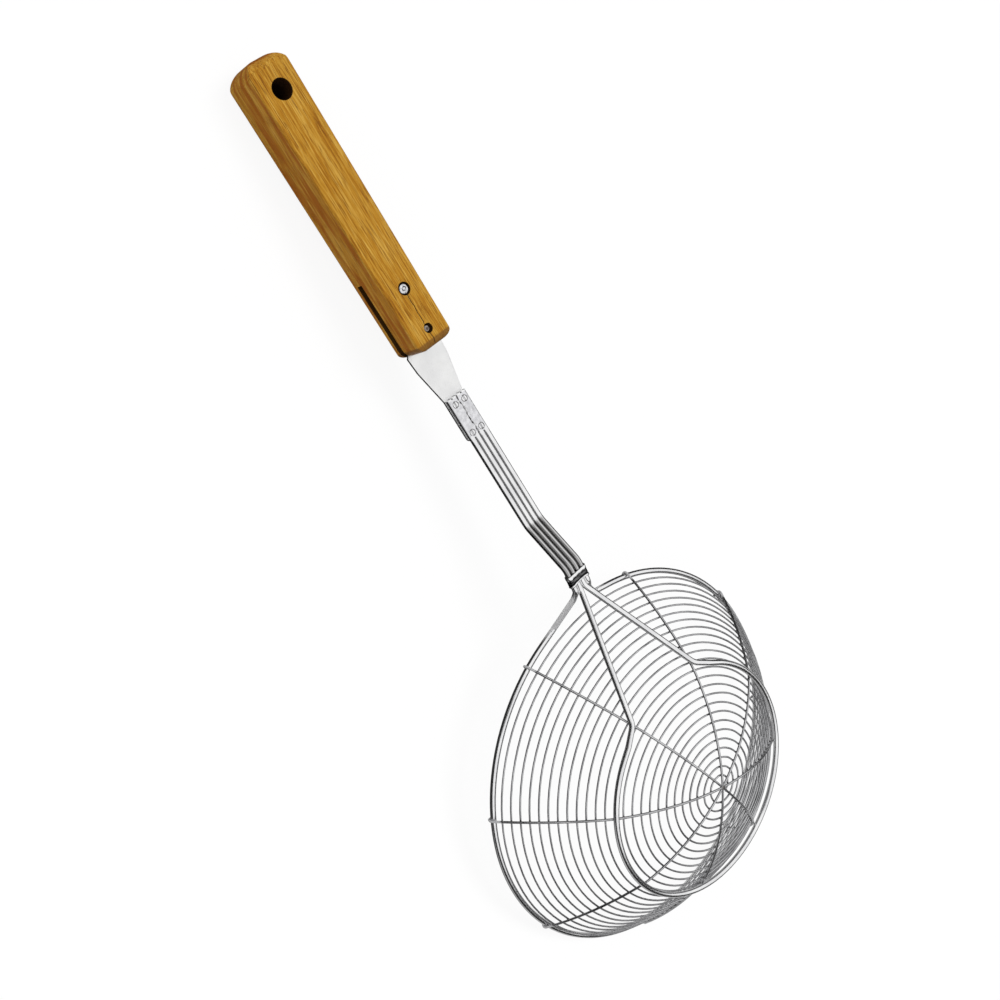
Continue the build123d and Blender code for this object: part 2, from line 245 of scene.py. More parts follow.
def makeBamboo():
    look = {
        "pale": (0.57, 0.33, 0.058),
        "golden": (0.43, 0.205, 0.016),
        "tan": (0.35, 0.140, 0.008),
        "umber": (0.15, 0.046, 0.003),
        # the toasted, burnt and sawn tones below carry painted shade: on the flanks, inside the hole, saw
        # cut and seats, and at the front end; the burnt tone also colours the crack
        "toastAndShade": (0.30, 0.086, 0.003),
        "shadeAndCrack": (0.010, 0.003, 0.002),
        "sawn": (0.16, 0.070, 0.014),
        "bands": (0.008, 0.55, 2.0, 0.5),
        "streaks": (0.025, 1.2, 4.0, 0.66),
        "fibres": (0.07, 2.8, 4.0, 0.75),
        "blotches": (0.07, 0.16, 3.0, 0.5),
        "flecks": (0.09, 2.3, 2.0, 0.6),
        "grain": (0.5, 2.2, 4.0, 0.7),
        "shares": {"bands": 0.45, "streaks": 0.6, "fibres": 1.15, "blotches": 0.3},
        "lightness": -0.71,
        "stops": {"umber": 0.22, "tan": 0.38, "golden": 0.52, "pale": 0.72},
        "dashDark": 0.7,
        "flankEdge": (0.5, 1.9),
        "flankShadeShare": (0.15, 0.75),
        "sawnEnd": (4.0, 2.9),
        "crackLevel": (9.0, 9.4),
        "relief": 0.55,
        "reliefDepth": 0.18,
    }
    material, graph = startMaterial("bamboo")
    along, side, height = graph.split(inMillimetres(graph, gripPlace))

    def lengthwise(name):
        # noise drawn out along the handle: its scale along and across, its detail and roughness
        slow, fine, detail, roughness = look[name]
        spread = graph.vector(along * slow, side * fine, height * fine)
        return graph.noise(spread, detail=detail, roughness=roughness)

    parts = {name: lengthwise(name) for name in look["shares"]}
    streaks, fibres = parts["streaks"], parts["fibres"]
    tone = sum(parts[name] * share for name, share in look["shares"].items()) + look["lightness"]
    stops = [(place, look[name]) for name, place in look["stops"].items()]
    colour = graph.flow("ShaderNodeValToRGB", {"stops": stops}, Fac=tone)
    dashes = lengthwise("flecks").above(0.55, 0.64) * look["dashDark"]
    colour = graph.blend(dashes, colour, look["umber"])
    fromFace = grip["thickness"] / 2 + along * (gripWidening / 2) - abs(height)
    # painted shade and toasted tone: the flanks of the bar, away from its two broad faces, are darker, in
    # patches
    flank = fromFace.above(*look["flankEdge"])
    flankPatches = graph.noise(graph.vector(along * 0.03, 5.0, height * 0.3), detail=2.0).above(0.42, 0.62)
    least, extra = look["flankShadeShare"]
    colour = graph.blend(flank * (least + flankPatches * extra), colour, look["toastAndShade"])
    # painted shade and end grain: the front end and its rounded edge are darker
    frontEnd = along.above(*look["sawnEnd"])
    colour = graph.blend((frontEnd * (0.5 + lengthwise("grain") * 0.6)).clamp(), colour, look["sawn"])
    # painted shade: the hole, the saw cut and the rivet seats are dark inside
    fromHole = graph.reach(along - grip["holePlace"], side)
    inHole = fromHole.above(grip["holeRadius"] + 0.22, grip["holeRadius"] + 0.04)
    slotMiddle = grip["slotTop"] - grip["slotHeight"] / 2
    fromSlot = abs(height - slotMiddle)
    inSlot = fromSlot.above(grip["slotHeight"] / 2 + 0.10, grip["slotHeight"] / 2 - 0.02)
    inSlot = inSlot * along.above(grip["slotDepth"] + 0.1, grip["slotDepth"] - 0.05)
    paintedShade = inHole.maths("MAXIMUM", inSlot)
    for station, radius in grip["seats"]:
        inSeat = graph.reach(along - station, side).above(radius + 0.22, radius + 0.02)
        paintedShade = paintedShade.maths("MAXIMUM", inSeat * fromFace.above(-0.1, 0.25))
    colour = graph.blend(paintedShade * 0.93, colour, look["shadeAndCrack"])
    # a hairline crack runs from the upper rivet through the lower one to the front end
    wander = graph.noise(graph.vector(along * 0.22, 3.0, 1.0), detail=2.0)
    offLine = abs(side - 0.5 - (wander - 0.5) * 1.8)
    crack = offLine.above(grip["crackWidth"], grip["crackWidth"] * 0.35)
    crack = crack * along.above(grip["crackEnd"], grip["crackEnd"] - 3) * height.above(*look["crackLevel"])
    colour = graph.blend(crack * 0.92, colour, look["shadeAndCrack"])
    relief = fibres * 0.5 + streaks * 0.35 - dashes * 0.5 - crack * 3.0
    roughness = 0.5 + (fibres - 0.5) * 0.25 + paintedShade * 0.4
    endSurface(graph, look, relief, Base_Color=colour, Roughness=roughness, Specular_IOR_Level=0.14)
    return material


def makeSteel(name, look, paint=None):
    # steel with a finish from mirror bright to satin; the wear and the fine marks follow the values
    material, graph = startMaterial(name)
    bright, grey, stain = look["tones"]
    stretch, markScale = look["marks"]
    spotScale, spotDark = look["spots"]
    gloss, glossRange = look["gloss"]
    place = inMillimetres(graph, gripPlace)
    along, side, height = graph.split(place)
    stretched = graph.vector(along * stretch, side, height)
    marks = graph.noise(stretched, scale=markScale, detail=4.0, roughness=0.65)
    cloud = graph.noise(place, scale=look["cloud"], detail=2.0).above(*look["cloudEdge"])
    spots = graph.noise(place, scale=spotScale, detail=2.0).above(*look["spotEdge"])
    colour = graph.blend(cloud, bright, grey)
    colour = graph.blend(spots * spotDark, colour, stain)
    metal = 1.0
    if paint:
        colour, metal = paint(graph, along, side, colour)
    roughness = gloss + (marks - 0.5) * glossRange + spots * look["spotGloss"]
    endSurface(graph, look, marks, Base_Color=colour, Metallic=metal, Roughness=roughness.clamp())
    return material


def paintShaftShading(graph, along, side, colour):
    # painted shade: the grooves between the shaft's four wires are darker
    look = {
        "pitch": 2.94,
        "halfWidth": (6.6, 6.1),
        "from": -125.0,
        "drop": -97.0,
        "dark": (0.11, 0.11, 0.115),
        "amount": 0.55,
        "paintedDarkRun": (0.20, 0.195, 0.19),
        "paintedDarkShare": 0.75,
    }
    ripple = (side * (math.tau / look["pitch"])).maths("COSINE")
    onShaft = abs(side).above(*look["halfWidth"]) * along.above(look["from"] - 4, look["from"])
    groove = ripple.above(0.25, 0.75) * onShaft
    colour = graph.blend(groove * look["amount"], colour, look["dark"])
    # painted dark reflection on the steep run below the shaft, with a painted highlight line on each wire
    paintedShine = ripple.above(-0.80, -0.97) * 0.6
    paintedDarkRun = onShaft * along.above(look["drop"] + 1, look["drop"] - 1) * (1 - paintedShine)
    return graph.blend(paintedDarkRun * look["paintedDarkShare"], colour, look["paintedDarkRun"]), 1.0


def paintLegs(graph, along, side, colour):
    # as the shaft; the two legs that come down from the neck to the rim are painted pale and made part
    # matte, a painted sheen in place of their reflection
    look = {"from": (5.8, 6.8), "to": -151.0, "pale": (0.92, 0.92, 0.93), "satin": 0.60}
    colour, metal = paintShaftShading(graph, along, side, colour)
    leg = abs(side).above(*look["from"]) * along.above(look["to"], look["to"] + 2.5) * look["satin"]
    return graph.blend(leg, colour, look["pale"]), 1 - leg


def paintHooks(graph, along, side, colour):
    # the ribs' hooks round the rim are painted pale and made part matte, a painted light tone in place of
    # their reflection
    look = {"radius": 96.2, "pale": (0.50, 0.50, 0.51), "amount": 0.8}
    x, y, z = graph.split(inMillimetres(graph, bowlPlace))
    hook = graph.reach(x, y).above(look["radius"], look["radius"] + 0.8)
    return graph.blend(hook * look["amount"], colour, look["pale"]), 1 - hook * look["amount"]


bamboo = makeBamboo()

# Steels: tones are bright, grey and stain, marks have a stretch along the handle and a scale, spots a
# scale and a darkness, gloss a middle and a range
wireLook = {
    "tones": ((0.90, 0.90, 0.90), (0.76, 0.76, 0.77), (0.42, 0.41, 0.41)),
    "marks": (1.0, 1.6),
    "cloud": 0.06,
    "cloudEdge": (0.3, 0.7),
    "spots": (0.8, 0.25),
    "spotEdge": (0.62, 0.72),
    "spotGloss": 0.08,
    "gloss": (0.16, 0.10),
    "relief": 0.10,
    "reliefDepth": 0.12,
}
meshLook = wireLook | {
    "tones": ((0.62, 0.62, 0.63), (0.40, 0.40, 0.41), (0.28, 0.27, 0.26)),
    "marks": (1.0, 2.2),
    "cloud": 0.09,
    "spots": (1.1, 0.35),
    "gloss": (0.25, 0.16),
    "relief": 0.12,
}
tangLook = wireLook | {
    "tones": ((0.85, 0.85, 0.845), (0.77, 0.77, 0.77), (0.60, 0.59, 0.58)),
    "marks": (0.12, 2.6),
    "cloud": 0.10,
    "spots": (0.7, 0.12),
    "gloss": (0.30, 0.16),
    "relief": 0.16,
}
weldLook = wireLook | {
    "tones": ((0.30, 0.29, 0.28), (0.16, 0.155, 0.15), (0.06, 0.05, 0.05)),
    "marks": (1.0, 3.5),
    "cloud": 0.5,
    "spots": (1.6, 0.6),
    "gloss": (0.34, 0.25),
    "relief": 0.35,
}
rivetLook = wireLook | {
    "tones": ((0.86, 0.86, 0.88), (0.50, 0.50, 0.52), (0.05, 0.045, 0.05)),
    "marks": (1.0, 2.4),
    "cloud": 0.7,
    "spots": (0.75, 0.9),
    "gloss": (0.18, 0.2),
    "relief": 0.4,
}
# painted shade: the lower rivet, sunk deeper in its seat, gets darker copies of the rivet's tones
shadedRivetLook = rivetLook | {"tones": ((0.34, 0.30, 0.27), (0.12, 0.09, 0.07), (0.05, 0.045, 0.05))}
wireSteel = makeSteel("wire_steel", wireLook, paintShaftShading)
rimSteel = makeSteel("rim_steel", wireLook, paintLegs)
meshSteel = makeSteel("mesh_steel", meshLook, paintHooks)
tangSteel = makeSteel("tang_steel", tangLook)
weldSteel = makeSteel("weld_steel", weldLook)


def paintRivet(graph, along, side, colour):
    # painted shade on the upper head: a dark edge where it meets its seat, and a broken dark ring round its
    # hollow
    look = {"edge": (1.95, 2.35), "ring": 1.05, "dark": (0.03, 0.028, 0.03), "amount": 0.9}
    rough = graph.noise(graph.vector(along * 1.1, side * 1.1, 5.0), detail=1.0)
    reach = graph.reach(along - grip["seats"][0][0], side)
    edge = (reach + (rough - 0.5) * 0.6).above(*look["edge"])
    ring = abs(reach + (rough - 0.5) * 0.9 - look["ring"]).above(0.38, 0.12) * rough.above(0.42, 0.52)
    return graph.blend(edge.maths("MAXIMUM", ring) * look["amount"], colour, look["dark"]), 1.0


rivetFinishes = {
    "rivet_upper": makeSteel("rivet_bright", rivetLook, paintRivet),
    "rivet_lower": makeSteel("rivet_shaded", shadedRivetLook),
}
print("materials made")


def startTree(name, inputs):
    # a Geometry Nodes tree with named inputs; returns its graph and the inputs as Flows
    tree = bpy.data.node_groups.new(name, "GeometryNodeTree")
    tree.interface.new_socket("Path", in_out="INPUT", socket_type="NodeSocketGeometry")
    for label, kind in inputs.items():
        tree.interface.new_socket(label, in_out="INPUT", socket_type="NodeSocket" + kind)
    tree.interface.new_socket("Shape", in_out="OUTPUT", socket_type="NodeSocketGeometry")
    graph = Graph(tree)
    entry = graph.add("NodeGroupInput")
    return graph, {socket.name: Flow(tree, socket) for socket in entry.outputs if socket.name}


def endTree(graph, shape, finish):
    smooth = graph.flow("GeometryNodeSetShadeSmooth", Geometry=shape)
    realized = graph.flow("GeometryNodeRealizeInstances", Geometry=smooth)
    painted = graph.flow("GeometryNodeSetMaterial", Geometry=realized, Material=finish)
    graph.add("NodeGroupOutput", i0=painted)
    return graph.tree


def addObject(name, data):
    item = bpy.data.objects.new(name, data)
    scene.collection.objects.link(item)
    return item


def growPiece(name, tree, points, values, place):
    # run a tree on a line of points in millimetres, and keep the result as a plain mesh in its place
    line = bpy.data.meshes.new(name)
    steps = [(k, k + 1) for k in range(len(points) - 1)]
    line.from_pydata([Vector(point) * mm for point in points], steps, [])
    piece = addObject(name, line)
    shaping = piece.modifiers.new("shaping", "NODES")
    shaping.node_group = tree
    for item in tree.interface.items_tree:
        if item.name in values:
            shaping[item.identifier] = values[item.name]
    ready = piece.evaluated_get(bpy.context.evaluated_depsgraph_get())
    shape = bpy.data.meshes.new_from_object(ready)
    piece.modifiers.remove(shaping)
    shape.transform(place)
    piece.data = shape
    return piece


def standIn(piece, slotName, *nodes):
    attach(piece, "root")
    if nodes:
        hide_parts(*nodes)


def keepMesh(name, shape, place, finish, unit=mm):
    # a bmesh, in millimetres unless a unit is given, becomes a piece
    bmesh.ops.recalc_face_normals(shape, faces=shape.faces)
    mesh = bpy.data.meshes.new(name)
    shape.to_mesh(mesh)
    shape.free()
    mesh.transform(place @ Matrix.Scale(unit, 4))
    mesh.materials.append(finish)
    mesh.shade_smooth()
    return addObject(name, mesh)


def addTube(graph, entry, line):
    # a round section along a line
    section = graph.flow("GeometryNodeCurvePrimitiveCircle", i0=entry["Sides"], i4=entry["Radius"])
    route = graph.flow("GeometryNodeMeshToCurve", Mesh=line)
    return graph.flow("GeometryNodeCurveToMesh", Curve=route, Profile_Curve=section, Fill_Caps=True)


# Shaft: four strands side by side, two of the rim's wire and two of the support's
tubeInputs = {"Radius": "Float", "Sides": "Int", "Finish": "Material"}
graph, entry = startTree("wireTube", tubeInputs)
wireTube = endTree(graph, addTube(graph, entry, entry["Path"]), entry["Finish"])

shaft = {
    "neckReach": 18.0,
    "neckRise": 15.0,
    "neckLength": 13.0,
    "neckSlope": 4.4,
    "neckRadius": 8.0,
    "wireGap": 0.04,
    "dropLength": 27.0,
    "dropSlope": 35.0,
    "dropRadius": 15.0,
    "length": 71.3,
    "slope": 14.8,
    "wireSides": 20,
    "pointSpacing": 1.5,
    "loopPoints": 150,
    "pressed": 0.42,
    "pressedDepth": 0.9,
    "pressedRamp": 3.0,
    "pressedTo": -47.0,
    "pressedWidth": 7.0,
    "wireHeight": -1.35,
}


def further(start, length, slope):
    # a point further out from the bowl, falling at a slope
    angle = math.radians(slope)
    return start + Vector((math.cos(angle), -math.sin(angle))) * length


neckBend = Vector((rimRadius + shaft["neckReach"], shaft["neckRise"]))
dropStart = further(neckBend, shaft["neckLength"], shaft["neckSlope"])
dropEnd = further(dropStart, shaft["dropLength"], shaft["dropSlope"])
shaftEnd = further(dropEnd, shaft["length"], shaft["slope"])
innerSide = (bowl["frameWire"] + shaft["wireGap"]) / 2
outerSide = innerSide + bowl["frameWire"] + shaft["wireGap"]


def inSpace(point, side=0.0):
    return Vector((point.x, side, point.y))


def around(radius, angle, height=0.0):
    # a point at a distance from the bowl's axis, at an angle in degrees
    turn = math.radians(angle)
    return Vector((radius * math.cos(turn), radius * math.sin(turn), height))


def roundedPath(points, radii, fineness=7):
    # straight runs joined by arcs, one radius for each inner point
    path = [points[0]]
    for before, corner, after, radius in zip(points, points[1:], points[2:], radii):
        back = (before - corner).normalized()
        ahead = (after - corner).normalized()
        turn = math.pi - back.angle(ahead)
        reach = radius * math.tan(turn / 2)
        centre = corner + (back + ahead).normalized() * (radius / math.cos(turn / 2))
        spoke = corner + back * reach - centre
        axis = spoke.cross(corner + ahead * reach - centre).normalized()
        pieces = max(3, math.ceil(math.degrees(turn) / fineness))
        for k in range(pieces + 1):
            path.append(centre + Quaternion(axis, turn * k / pieces) @ spoke)
    path.append(points[-1])
    return path


def closeTo(path, step):
    # more points on the long straight runs, so that the end can be pressed
    finer = []
    for first, second in zip(path, path[1:]):
        parts = max(1, round((second - first).length / step))
        finer += [first.lerp(second, k / parts) for k in range(parts)]
    return finer + [path[-1]]


def legPath(side, corners, radii):
    # down the shaft beside the other strands, then on to the bowl by the wire's own corners
    points = [inSpace(point, side) for point in (shaftEnd, dropEnd, dropStart, neckBend)] + corners
    path = roundedPath(points, [shaft["dropRadius"], shaft["neckRadius"], *radii])
    return closeTo(path, shaft["pointSpacing"])


def loopPath(leg, radius, angle, height):
    # a leg, the circle the long way round, and the same leg mirrored
    swing = 360 - 2 * angle
    count = shaft["loopPoints"]
    ring = [around(radius, angle + swing * k / count, height) for k in range(1, count)]
    return leg + ring + [Vector((point.x, -point.y, point.z)) for point in reversed(leg)]


def pressEnds(piece):
    # the wires are flattened where they are welded to the tang
    toGrip = gripPlace.inverted()
    ramp = shaft["pressedRamp"]
    for vertex in piece.data.vertices:
        spot = toGrip @ vertex.co / mm
        lift = spot.z - shaft["wireHeight"]
        if lift < 0 or spot.x < shaft["pressedTo"] - ramp or abs(spot.y) > shaft["pressedWidth"]:
            continue
        ease = min(1, max(0, (spot.x - shaft["pressedTo"] + ramp / 2) / ramp))
        ease = ease * ease * (3 - 2 * ease)
        flat = bowl["frameWire"] / 2 * (1 - shaft["pressed"])
        if lift > flat:
            spot.z += ease * (flat - lift) * shaft["pressedDepth"]
            vertex.co = gripPlace @ (spot * mm)


# Rim: a ring that the ribs hook round, and its two legs
rim = {"opening": 15.0, "lead": 10.0, "bend": (4.5, 1.1, 3.0), "radii": (5.0, 5.0, 6.0)}
rimStart = around(rimRadius, rim["opening"])
rimCorner = rimStart + around(1, rim["opening"] - 90) * rim["lead"]
bendIn, bendOut, bendDown = rim["bend"]
rimBend = Vector((neckBend.x - bendIn, outerSide + bendOut, neckBend.y - bendDown))
rimLeg = legPath(outerSide, [rimBend, rimCorner, rimStart], rim["radii"])
wireValues = {"Radius": bowl["frameWire"] / 2 * mm, "Sides": shaft["wireSides"], "Finish": wireSteel}
rimValues = wireValues | {"Finish": rimSteel}
rimPath = loopPath(rimLeg, rimRadius, rim["opening"], 0.0)
rimPiece = growPiece("rim_wire_round", wireTube, rimPath, rimValues, bowlPlace)
pressEnds(rimPiece)
standIn(rimPiece, "wire_steel", "rim_wire")

# Support: a ring outside the ribs, and its two legs
support = {"spread": 22.9, "bendOut": 2.2, "lead": 6.0, "clearance": 0.1, "radii": (6.0, 8.0, 20.0)}
ringPlace = onArc(kneeCentre, bowl["kneeRadius"] + hookRadius, (dishSlope + kneeSlope) / 2)
footRadius = ringPlace.x + support["bendOut"]
ringAngle = support["spread"] + math.degrees(math.acos(ringPlace.x / footRadius))
footOverRib = ringPlace.x / math.cos(math.radians(ringAngle) - ribStep / 2)
footReach = wallRadius + hookRadius + support["clearance"]
footHeight = wallCentre.y + math.sqrt(footReach**2 - (footOverRib - wallCentre.x) ** 2)
ringStart = around(ringPlace.x, ringAngle, ringPlace.y)
foot = around(footRadius, support["spread"], footHeight)
ringLead = ringStart + around(1, ringAngle - 90) * support["lead"]
supportLeg = legPath(innerSide, [foot, ringLead, ringStart], support["radii"])
supportPath = loopPath(supportLeg, ringPlace.x, ringAngle, ringPlace.y)
supportPiece = growPiece("support_wire_round", wireTube, supportPath, wireValues, bowlPlace)
pressEnds(supportPiece)
standIn(supportPiece, "wire_steel", "support_wire")
print("rim and support wires made")

# Ribs: half a rib, placed twice round the bowl's axis
ribs = {"hookTurn": 170.0, "hookStep": 0.35, "step": 2.0, "sides": 10, "firstSlope": 0.55}


def sectionArc(centre, radius, fromSlope, toSlope, step):
    pieces = max(2, math.ceil(abs(toSlope - fromSlope) * math.radians(radius) / step))
    return [onArc(centre, radius, fromSlope + (toSlope - fromSlope) * k / pieces) for k in range(pieces)]


def ribProfile(fromSlope, step):
    profile = sectionArc(dishCentre, bowl["dishRadius"], fromSlope, dishSlope, step)
    profile += sectionArc(kneeCentre, bowl["kneeRadius"], dishSlope, kneeSlope, step)
    profile += sectionArc(wallCentre, wallRadius, kneeSlope, wallEndSlope, step)
    return profile


hookEndSlope = wallEndSlope + ribs["hookTurn"]
hook = sectionArc(rimCentre, hookRadius, wallEndSlope, hookEndSlope, ribs["hookStep"])
hook.append(onArc(rimCentre, hookRadius, hookEndSlope))
halfRib = [inSpace(point) for point in ribProfile(ribs["firstSlope"], ribs["step"]) + hook]

graph, entry = startTree("ribWires", tubeInputs | {"Count": "Int", "Azimuth": "Float"})
tube = addTube(graph, entry, entry["Path"])
index = graph.flow("GeometryNodeInputIndex")
turn = graph.vector(0.0, 0.0, entry["Azimuth"] + index * math.tau / entry["Count"])
axisPoints = graph.flow("GeometryNodeMeshLine", Count=entry["Count"], Offset=(0, 0, 0))
ring = graph.flow("GeometryNodeInstanceOnPoints", Points=axisPoints, Instance=tube, Rotation=turn)
ribTree = endTree(graph, ring, entry["Finish"])
for number in range(bowl["ribCount"] // 2):
    ribValues = {
        "Radius": bowl["ribWire"] / 2 * mm,
        "Sides": ribs["sides"],
        "Count": 2,
        "Azimuth": (number + 0.5) * ribStep,
        "Finish": meshSteel,
    }
    node = f"rib_wire_{number + 1}"
    standIn(growPiece(node + "_round", ribTree, halfRib, ribValues, bowlPlace), "wire_steel", node)
print("ribs made")

# Spiral: one wire wound by rule along the ribs, on their inner side
spiral = {
    "pitch": 4.5,
    "steps": 96,
    "sides": 8,
    "start": -157.5,
    "profileStep": 0.8,
    "wander": 0.9,
    "wanderRound": 1.6,
    "wanderOut": 260.0,
}
spiralOffset = (bowl["ribWire"] + bowl["spiralWire"]) / 2
profileLine = [inSpace(point) for point in ribProfile(0.0, spiral["profileStep"]) + [hook[0]]]
profileLength = sum((b - a).length for a, b in zip(profileLine, profileLine[1:]))
rimGap = (bowl["frameWire"] + bowl["spiralWire"]) / 2
lastTurn = math.sqrt(rimGap**2 - (hookRadius - spiralOffset) ** 2)
turns = math.floor((profileLength - lastTurn) / spiral["pitch"] * 24) / 24 - 1
windInputs = dict.fromkeys(("Pitch", "Start", "Offset", "Radius"), "Float")
windInputs |= dict.fromkeys(("Steps", "Count"), "Int") | {"Finish": "Material"}


def windValues(steps, offset, radius, finish):
    # values for a tree with the inputs above; steps are the points of one turn
    return {
        "Pitch": spiral["pitch"] * mm,
        "Start": math.radians(spiral["start"]),
        "Steps": steps,
        "Offset": offset * mm,
        "Radius": radius * mm,
        "Finish": finish,
    }


def windAlong(graph, entry):
    # place of a point by its index: its distance along the rib, from one pitch on, and its angle
    index = graph.flow("GeometryNodeInputIndex")
    distance = entry["Pitch"] + entry["Pitch"] * index / entry["Steps"]
    angle = entry["Start"] + index * math.tau / entry["Steps"]
    route = graph.flow("GeometryNodeMeshToCurve", Mesh=entry["Path"])
    sample = graph.add("GeometryNodeSampleCurve", {"mode": "LENGTH"}, Curves=route, Length=distance)
    placeX, placeY, placeZ = graph.split(sample.outputs["Position"])
    headX, headY, headZ = graph.split(sample.outputs["Tangent"])
    radius = placeX + headZ * entry["Offset"]
    height = placeZ - headX * entry["Offset"]
    return radius, angle, height


def setAround(graph, entry, radius, angle, height):
    # a point for each step, at its distance from the axis
    spot = graph.vector(radius * angle.maths("COSINE"), radius * angle.maths("SINE"), height)
    line = graph.flow("GeometryNodeMeshLine", Count=entry["Count"])
    return graph.flow("GeometryNodeSetPosition", Geometry=line, Position=spot)


graph, entry = startTree("spiralWire", windInputs | {"Sides": "Int", "Wander": "Float"})
radius, angle, height = windAlong(graph, entry)
# between two ribs the wire wanders by a few tenths, and at the ribs it is welded in its place
between = (angle * (bowl["ribCount"] / 2)).maths("COSINE")
heading = [angle.maths(name) * spiral["wanderRound"] for name in ("COSINE", "SINE")]
sway = graph.noise(graph.vector(*heading, radius * spiral["wanderOut"]), detail=1.0) - 0.5
radius = radius + between * between * sway * entry["Wander"]
wound = setAround(graph, entry, radius, angle, height)
spiralTree = endTree(graph, addTube(graph, entry, wound), entry["Finish"])
windingValues = windValues(spiral["steps"], spiralOffset, bowl["spiralWire"] / 2, meshSteel) | {
    "Count": round(turns * spiral["steps"]) + 1,
    "Sides": spiral["sides"],
    "Wander": spiral["wander"] * mm,
}
spiralPiece = growPiece("spiral_wire_round", spiralTree, profileLine, windingValues, bowlPlace)
standIn(spiralPiece, "wire_steel", "spiral_wire")

# Spot welds where the spiral crosses the ribs
welds = {
    "radius": 0.58,
    "least": 0.75,
    "most": 1.15,
    "flatness": (1.25, 1.05, 0.9),
    "lift": 0.05,
    "seed": 7,
}
graph, entry = startTree("spotWelds", windInputs | {"Least": "Float", "Most": "Float", "Seed": "Int"})
radius, angle, height = windAlong(graph, entry)
places = setAround(graph, entry, radius, angle, height)
nugget = graph.flow("GeometryNodeMeshIcoSphere", Radius=entry["Radius"], Subdivisions=1)
limits = {"i2": entry["Least"], "i3": entry["Most"], "Seed": entry["Seed"]}
size = graph.flow("FunctionNodeRandomValue", {"data_type": "FLOAT"}, out=1, **limits)
dots = graph.flow(
    "GeometryNodeInstanceOnPoints",
    Points=places,
    Instance=nugget,
    Rotation=graph.vector(0.0, 0.0, angle),
    Scale=graph.vector(*[size * share for share in welds["flatness"]]),
)
weldTree = endTree(graph, dots, entry["Finish"])
weldOffset = bowl["ribWire"] / 2 + welds["lift"]
weldValues = windValues(bowl["ribCount"], weldOffset, welds["radius"], weldSteel) | {
    "Count": math.floor(turns * bowl["ribCount"]) + 1,
    "Least": welds["least"],
    "Most": welds["most"],
    "Seed": welds["seed"],
}
standIn(growPiece("spot_welds", weldTree, profileLine, weldValues, bowlPlace), "wire_steel")
print("spiral and its welds made:", round(turns, 2), "turns")


def joinRings(shape, rings, sides):
    # faces between each ring and the next; a ring may be a single point
    for first, second in zip(rings, rings[1:]):
        for k in range(sides):
            corners = [first[k % len(first)], first[(k + 1) % len(first)]]
            corners += [second[(k + 1) % len(second)], second[k % len(second)]]
            corners = list(dict.fromkeys(corners))
            if len(corners) > 2:
                shape.faces.new(corners)


def lathe(profile, sides):
    # turn a profile of (radius, height) pairs round the Z axis; ends on the axis are closed
    shape = bmesh.new()
    rings = []
    for radius, height in profile:
        count = sides if radius > 1e-6 else 1
        spots = [around(radius, 360 * k / sides, height) for k in range(count)]
        rings.append([shape.verts.new(spot) for spot in spots])
    joinRings(shape, rings, sides)
    return shape


# Apex weld: the nugget where the ribs run together
apex = {
    "radius": 1.7,
    "height": 1.35,
    "fullness": 0.7,
    "sides": 24,
    "step": 12,
    "lump": 0.10,
    "seed": 11,
}
chance = random.Random(apex["seed"])
apexProfile = [(0, apex["height"] / 2)]
for degrees in range(apex["step"], 90, apex["step"]):
    angle = math.radians(degrees)
    apexHeight = apex["height"] / 2 * math.cos(angle) ** apex["fullness"]
    apexProfile.append((apex["radius"] * math.sin(angle), apexHeight))
apexProfile += [(radius, -height) for radius, height in reversed(apexProfile)]
nugget = lathe(apexProfile, apex["sides"])
bmesh.ops.remove_doubles(nugget, verts=nugget.verts, dist=0.02)
for vertex in nugget.verts:
    vertex.co *= 1 - apex["lump"] * chance.random()
apexPlace = bowlPlace @ Matrix.Translation((0, 0, bowl["depth"] * mm))
standIn(keepMesh("apex_nugget", nugget, apexPlace, weldSteel), "wire_steel", "apex_weld")

# Neck clip: a strip folded round the four wires, pressed a little into the grooves between them
clip = {
    "length": 6.2,
    "wall": 0.62,
    "clearance": 0.05,
    "groove": 0.16,
    "edge": 0.25,
    "bead": (0.45, 0.75),
    "fold": (2.0, 1.7),
    "foldGroove": 0.4,
    "sides": 72,
    "bow": 0.9,
    "bowBelow": 0.4,
    "bowReach": 5.2,
    "lip": 0.12,
}
wirePitch = bowl["frameWire"] + shaft["wireGap"]
shaftWidth = 4 * bowl["frameWire"] + 3 * shaft["wireGap"]


def clipOutline(half, grooved):
    # points round a band: flat above and below the wires, round at the sides, lower between two wires
    outline = []
    straight = shaftWidth / 2 - bowl["frameWire"] / 2
    count = clip["sides"] // 4
    for end in (1, -1):
        for k in range(count):
            angle = math.pi * (k / count - 0.5)
            outline.append((end * (straight + math.cos(angle) * half), end * math.sin(angle) * half))
        for k in range(count):
            centre = straight * (1 - 2 * k / count)
            dip = grooved * (0.5 + 0.5 * math.cos(math.tau * centre / wirePitch))
            outline.append((end * centre, end * (half - dip)))
    return outline


